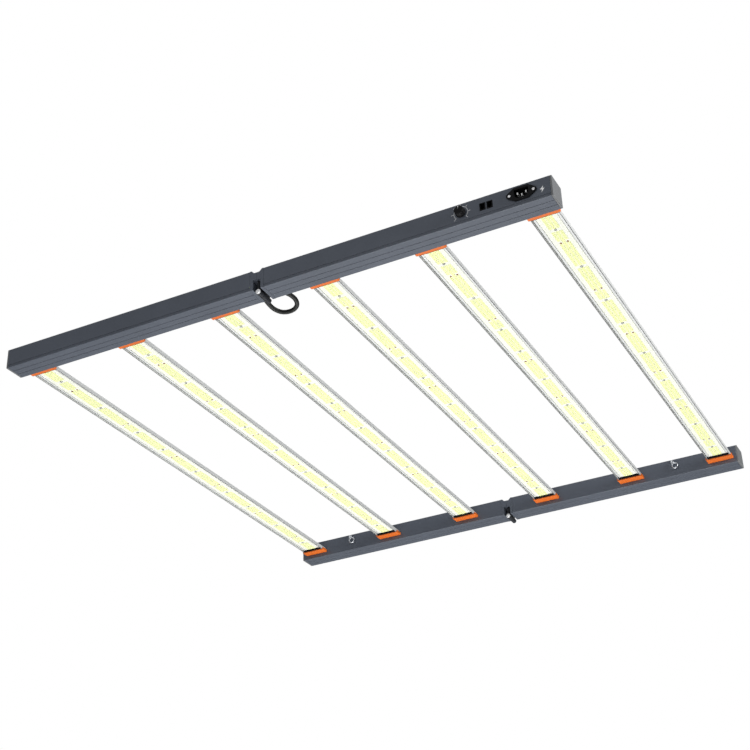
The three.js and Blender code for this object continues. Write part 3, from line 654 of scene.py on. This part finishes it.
PIN_LOW, PIN_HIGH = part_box("near_hinge_pin")
LEAF_LOW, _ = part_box("near_hinge_leaf_right")
AXIS_Z = middle(PIN_LOW.z, PIN_HIGH.z)
HEAD_RADIUS = (PIN_HIGH.x - PIN_LOW.x) / 2
BARREL_RADIUS = AXIS_Z - LEAF_LOW.z
BARREL_BORE = 2.6 * MM
BARREL_EDGE = 0.4 * MM
BARREL_INSET = LEAF_LOW.y - NEAR_FACE
PIN_RADIUS = 2.5 * MM
PIN_CHAMFER = 0.4 * MM
PIN_SIDES = 40
HEAD_HEIGHT = 1.9 * MM
HEAD_CROWN = 0.9 * MM
HEAD_TURNS = tuple(math.radians(4 + 14 * step) for step in range(7))
GAP = 0.3 * MM
LEAF_THICKNESS = 1.8 * MM
LEAF_LAP = 1.2 * MM
LEAF_EDGE = 0.3 * MM
BARREL_SIDES = 48
KNUCKLE_OWNERS = ("right", "left", "right")
KNUCKLE_LENGTH = (NEAR_INNER - NEAR_FACE - BARREL_INSET - 2 * GAP) / len(KNUCKLE_OWNERS)


def knuckle(shell, start, end):
    """One ring of a hinge barrel, from one place along Y to another."""
    length = end - start
    profile = [(BARREL_BORE, 0), (BARREL_RADIUS - BARREL_EDGE, 0), (BARREL_RADIUS, BARREL_EDGE),
               (BARREL_RADIUS, length - BARREL_EDGE), (BARREL_RADIUS - BARREL_EDGE, length),
               (BARREL_BORE, length)]
    turned(shell, profile, (0, start, AXIS_Z), (0, 1, 0), BARREL_SIDES, closed=True)


def add_leaf(side, half):
    """A leaf against the joint face, rolled into this half's knuckles."""
    low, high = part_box(f"{side}_hinge_leaf_{half}")
    shell = Shell()
    for index, owner in enumerate(KNUCKLE_OWNERS):
        start = RAIL_FRONT[side] + BARREL_INSET + index * (KNUCKLE_LENGTH + GAP)
        if owner == half:
            knuckle(shell, start, start + KNUCKLE_LENGTH)
    xs = sorted(HALVES[half] * distance for distance in (GAP / 2, GAP / 2 + LEAF_THICKNESS))
    foot = AXIS_Z + BARREL_RADIUS - LEAF_LAP
    block(shell, (xs[0], low.y, foot), (xs[1], high.y, high.z), LEAF_EDGE)
    leaf = shell.piece(f"{side}_leaf_{half}", [HINGE_PAINT])
    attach(leaf, f"{half}_half")
    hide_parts(f"{side}_hinge_leaf_{half}")


def add_pin(side):
    """The pin, with a polished domed head at the front; its near-white colour is partly a painted
    highlight.
    """
    low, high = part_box(f"{side}_hinge_pin")
    length = high.y - low.y
    crown = [(HEAD_RADIUS * math.sin(turn), HEAD_CROWN * (1 - math.cos(turn))) for turn in HEAD_TURNS]
    shank = [(HEAD_RADIUS, HEAD_HEIGHT), (PIN_RADIUS, HEAD_HEIGHT),
             (PIN_RADIUS, length - PIN_CHAMFER), (PIN_RADIUS - PIN_CHAMFER, length)]
    shell = Shell()
    turned(shell, crown + shank, (0, low.y, AXIS_Z), (0, 1, 0), PIN_SIDES)
    pin = shell.piece(f"{side}_pin", [PIN_SHEEN_WHITE])
    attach(pin, "right_half")
    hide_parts(f"{side}_hinge_pin")


# ---- jumper lead --------------------------------------------------------------------

LEAD_DIAMETER = 8 * MM
LEAD_STEPS = 8
LEAD_SIDES = 24
# Points of the lead, millimetres: x, y beyond the near rail's inner face, z above its underside.
LEAD_ROUTE = ((-19.5, -6, 19), (-19.5, 3, 19), (-19.5, 12, 19), (-19.7, 21, 18), (-20, 32, 16.4),
              (-18, 45, 13.6), (-10.5, 55.5, 11), (0.5, 60, 9.8), (14, 58.5, 10), (24.5, 50.5, 11.6),
              (28.5, 38, 14.2), (26.3, 26, 16.6), (21.6, 18, 18.4), (19.5, 12, 19), (19.5, 3, 19),
              (19.5, -6, 19))


def smooth_route(points, steps):
    """A Catmull-Rom curve through the points."""
    ends = [2 * points[0] - points[1], *points, 2 * points[-1] - points[-2]]
    route = []
    for before, a, b, after in zip(ends, ends[1:], ends[2:], ends[3:]):
        for step in range(steps):
            t = step / steps
            route.append(0.5 * (2 * a + (b - before) * t + (2 * before - 5 * a + 4 * b - after) * t ** 2
                                + (3 * a - before - 3 * b + after) * t ** 3))
    return route + [points[-1]]


def add_lead():
    points = [Vector((x * MM, NEAR_INNER + y * MM, RAIL_BOTTOM + z * MM)) for x, y, z in LEAD_ROUTE]
    route = smooth_route(points, LEAD_STEPS)
    shell = Shell()
    sweep(shell, route, LEAD_DIAMETER / 2, LEAD_SIDES)
    lead = shell.piece("lead", [RUBBER])
    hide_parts("jumper_lead")
    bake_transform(lead)


GLAND_PLAY = 0.25 * MM
GLAND_THREAD = 5.2 * MM
GLAND_MOUTH = 0.6 * MM
GLAND_SIDES = 36
# The gland's outside: its share of the full radius, and millimetres out from the rail.
GLAND_STEPS = ((0.98, 0.3), (0.98, 3.2), (0.9, 3.2), (0.9, 3.7), (0.94, 3.7), (0.94, 6.2), (0.8, 7.9))


def add_glands():
    """Cable glands: a thread through the rail, a flange and a domed nut around the lead."""
    for half in HALVES:
        low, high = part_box(f"lead_gland_{half}")
        x, z = middle(low.x, high.x), middle(low.z, high.z)
        bore = LEAD_DIAMETER / 2 + GLAND_PLAY
        radius = (high.x - low.x) / 2
        length = high.y - low.y
        rail = NEAR_INNER - low.y
        outside = [(radius * share, rail + out * MM) for share, out in GLAND_STEPS]
        profile = [(bore, 0), (GLAND_THREAD, 0), (GLAND_THREAD, outside[0][1]), *outside,
                   (bore + GLAND_MOUTH, length), (bore, length)]
        shell = Shell()
        turned(shell, profile, (x, low.y, z), (0, 1, 0), GLAND_SIDES, closed=True)
        gland = shell.piece(f"gland_{half}", [BLACK_PLASTIC])
        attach(gland, f"{half}_half")
        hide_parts(f"lead_gland_{half}")


# ---- hanging hooks ------------------------------------------------------------------

HOOK_WIRE = 1.3 * MM
HOOK_RING = 6 * MM
HOOK_OPENING = math.radians(36)
HOOK_STANDOFF = 6 * MM
HOOK_BEND = 3 * MM
HOOK_SIDES = 14
HOOK_ROOT = 0.6 * MM
BEND_STEPS = 8
RING_STEPS = 44
RIVET_RADIUS = 3.6 * MM
RIVET_SIDES = 28
# The rivet's head, from the wire's root to its crown: radius and distance from the rail.
RIVET_HEAD = ((HOOK_ROOT, 0.2 * MM), (RIVET_RADIUS - 0.2 * MM, 0.3 * MM), (RIVET_RADIUS, 0.6 * MM),
              (RIVET_RADIUS - 0.1 * MM, 1.2 * MM), (2.6 * MM, 1.75 * MM), (HOOK_ROOT, 1.8 * MM))


def arc(steps, start, turn):
    """Angles from start, in equal steps over a turn."""
    return [start + turn * step / steps for step in range(steps + 1)]


def add_hook(side, half):
    """A pigtail hook: a rivet, a shank that bends down, and an open ring."""
    low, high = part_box(f"{side}_hanging_hook_{half}")
    inner, inward = RAIL_INNER[side], INWARD[side]
    ring_x = high.x - HOOK_WIRE - HOOK_RING
    shank_x = ring_x - HOOK_RING
    ring_y = inner + inward * HOOK_STANDOFF
    ring_z = low.z + HOOK_WIRE + HOOK_RING
    rivet_z = high.z - RIVET_RADIUS
    bend = [Vector((shank_x, ring_y - inward * HOOK_BEND * (1 - math.sin(turn)),
                    rivet_z - HOOK_BEND * (1 - math.cos(turn))))
            for turn in arc(BEND_STEPS, 0, math.pi / 2)]
    ring = [Vector((ring_x + HOOK_RING * math.cos(turn), ring_y, ring_z + HOOK_RING * math.sin(turn)))
            for turn in arc(RING_STEPS, math.pi, 2 * math.pi - HOOK_OPENING)]
    root = Vector((shank_x, inner + inward * HOOK_ROOT, rivet_z))
    shell = Shell()
    sweep(shell, [root, *bend, *ring], HOOK_WIRE, HOOK_SIDES)
    turned(shell, RIVET_HEAD, (shank_x, inner, rivet_z), (0, inward, 0), RIVET_SIDES)
    hook = shell.piece(f"{side}_hook_{half}", [HOOK_STEEL])
    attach(hook, f"{half}_half")
    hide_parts(f"{side}_hanging_hook_{half}")


# ---- controls on the near right rail ------------------------------------------------

KNOB_FLUTES = 18
KNOB_SIDES = 108
KNOB_BORE = 2.9 * MM
POINTER_HALF_WIDTH = 0.4 * MM
POINTER_DEPTH = 0.5 * MM
POINTER_EDGE = 0.1 * MM
POINTER_REACH = (0.45, 0.82)


def add_knob():
    """A fluted knob with a pointer line on its face."""
    low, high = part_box("dimmer_knob")
    x, z = middle(low.x, high.x), middle(low.z, high.z)
    radius = (high.x - low.x) / 2
    depth = high.y - low.y

    def ring(distance, share, flute):
        points = []
        for side in range(KNOB_SIDES):
            turn = 2 * math.pi * side / KNOB_SIDES
            r = radius * share * (1 - flute * (0.5 + 0.5 * math.cos(KNOB_FLUTES * turn)))
            points.append(Vector((x + r * math.cos(turn), low.y + distance, z - r * math.sin(turn))))
        return points

    shell = Shell()
    dished_face = [(0.75 * MM, 0.2, 0), (0.35 * MM, 0.55, 0), (0.05 * MM, 0.74, 0), (0.05 * MM, 0.8, 0)]
    fluted_side = [(0.5 * MM, 0.88, 0.01), (1.4 * MM, 0.93, 0.05), (depth - 2.4 * MM, 0.97, 0.05)]
    skirt = [(depth - 1.8 * MM, 1.0, 0), (depth - 0.3 * MM, 1.0, 0), (depth, 0.97, 0)]
    bore = [(depth, 0.42, 0), (KNOB_BORE, 0.42, 0)]
    loft(shell, [ring(*level) for level in dished_face + fluted_side + skirt + bore])
    start, end = [z + radius * share for share in POINTER_REACH]
    block(shell, (x - POINTER_HALF_WIDTH, low.y, start),
          (x + POINTER_HALF_WIDTH, low.y + POINTER_DEPTH, end), POINTER_EDGE, slot=1)
    knob = shell.piece("knob", [BLACK_PLASTIC, INK], smooth=40)
    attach(knob, "dimmer_knob")
    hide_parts("dimmer_knob")


INK_THICKNESS = 0.06 * MM
INK_OVERLAP = 0.02 * MM


def printed(shell, outline):
    """A flat printed mark on the rail's outer face: (x, z) corners, counter-clockwise from in front."""
    front = [Vector((x, NEAR_FACE - INK_THICKNESS, z)) for x, z in outline]
    back = [Vector((x, NEAR_FACE + INK_OVERLAP, z)) for x, z in outline]
    loft(shell, [back, front])


SCALE_INNER = 11.5 * MM
SCALE_OUTER = 16.6 * MM
SCALE_LINE = 0.5 * MM
SCALE_TICKS = 7
SCALE_TURN = 135
# Where an arc between two ticks has its corners, as shares of the step from one to the next.
SCALE_ARC = (0.1, 0.36, 0.63, 0.9)


def radial(centre, degrees, radius, across=0.0):
    """A point on the rail's face at an angle clockwise from straight up."""
    turn = math.radians(degrees)
    return (centre[0] + radius * math.sin(turn) + across * math.cos(turn),
            centre[1] + radius * math.cos(turn) - across * math.sin(turn))


def add_dial_scale():
    """A white scale round the knob: ticks, joined at their feet by short arcs."""
    low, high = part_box("dimmer_knob")
    centre = (middle(low.x, high.x), middle(low.z, high.z))
    shell = Shell()
    half = SCALE_LINE / 2
    step = 2 * SCALE_TURN / (SCALE_TICKS - 1)
    for tick in range(SCALE_TICKS):
        turn = -SCALE_TURN + step * tick
        printed(shell, [radial(centre, turn, SCALE_INNER, -half), radial(centre, turn, SCALE_INNER, half),
                        radial(centre, turn, SCALE_OUTER, half), radial(centre, turn, SCALE_OUTER, -half)])
    for tick in range(SCALE_TICKS - 1):
        turns = [-SCALE_TURN + step * (tick + share) for share in SCALE_ARC]
        inside = [radial(centre, turn, SCALE_INNER) for turn in turns]
        outside = [radial(centre, turn, SCALE_INNER + SCALE_LINE) for turn in reversed(turns)]
        printed(shell, inside + outside)
    scale = shell.piece("dial_scale", [INK])
    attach(scale, "right_half")


BOLT_X = 508.5 * MM
BOLT_Z = RAIL_BOTTOM + 17 * MM
BOLT_OUTLINE = ((1.9, 6.0), (-3.9, -0.6), (-0.5, -0.6), (-1.7, -6.0), (3.8, 1.2), (0.6, 1.2))


def add_bolt_mark():
    """The general sign for electricity, beside the inlet."""
    shell = Shell()
    printed(shell, [(BOLT_X + across * MM, BOLT_Z + up * MM) for across, up in BOLT_OUTLINE])
    mark = shell.piece("bolt_mark", [INK])
    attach(mark, "right_half")


INLET_HEAD_HEIGHT = 1.2 * MM


def add_inlet_screws():
    """Cross-headed screws sunk into the inlet's flange."""
    for half in HALVES:
        low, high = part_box(f"inlet_screw_{half}")
        seat = (middle(low.x, high.x), low.y + INLET_HEAD_HEIGHT, middle(low.z, high.z))
        shell = Shell()
        pan_screw(shell, seat, (0, -1, 0), (high.x - low.x) / 2, INLET_HEAD_HEIGHT)
        screw = shell.piece(f"inlet_screw_head_{half}", [SCREW_STEEL])
        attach(screw, "right_half")
        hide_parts(f"inlet_screw_{half}")


JACK_INSET = 5.8 * MM
JACK_ROOF = 5 * MM
JACK_WIRES = 4
JACK_WIRE_PITCH = 1.27 * MM
JACK_WIRE_RADIUS = 0.22 * MM
JACK_WIRE_SIDES = 8
# A contact's way into its jack, millimetres: in from the mouth, down from the roof.
JACK_WIRE_ROUTE = ((4, 0), (6, 0.6), (9, 2.6), (12, 3.2))


def add_jack_contacts():
    """Spring contacts in the roof of each jack."""
    low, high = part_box("dimmer_jack_pair")
    roof = middle(low.z, high.z) + JACK_ROOF
    shell = Shell()
    for x in (low.x + JACK_INSET, high.x - JACK_INSET):
        for wire in range(JACK_WIRES):
            across = x + (wire - (JACK_WIRES - 1) / 2) * JACK_WIRE_PITCH
            path = [Vector((across, low.y + inwards * MM, roof - down * MM))
                    for inwards, down in JACK_WIRE_ROUTE]
            sweep(shell, path, JACK_WIRE_RADIUS, JACK_WIRE_SIDES)
    contacts = shell.piece("jack_contacts", [DULL_STEEL])
    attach(contacts, "right_half")


# ---- finishes of the frame's own nodes ----------------------------------------------

FINISHES = (("_rail_", SLATE), ("hinge_block", SLATE), ("end_cap", CAP_GREY), ("_bracket_", ORANGE),
            ("led_bar_", ALUMINIUM), ("driver_", DRIVER_METAL), ("mains_inlet", BLACK_PLASTIC),
            ("inlet_contact", CONTACT), ("dimmer_jack", BLACK_PLASTIC), ("potentiometer", DRIVER_METAL))


def finish_nodes():
    for name, node in nodes.items():
        for part, material in FINISHES:
            if part in name:
                for slot in node.material_slots:
                    slot.material = material


add_camera()
add_lead()
add_glands()
add_studio()
add_floor()
finish_nodes()
for bar_number in BARS:
    add_boards(bar_number)
    add_leds(bar_number)
    add_board_screws(bar_number)
    add_end_shade_strips(bar_number)
    add_lip_shade_strips(bar_number)
for side_name in SIDES:
    add_pin(side_name)
    for half_name in HALVES:
        add_leaf(side_name, half_name)
        add_hook(side_name, half_name)
add_knob()
add_dial_scale()
add_bolt_mark()
add_inlet_screws()
add_jack_contacts()
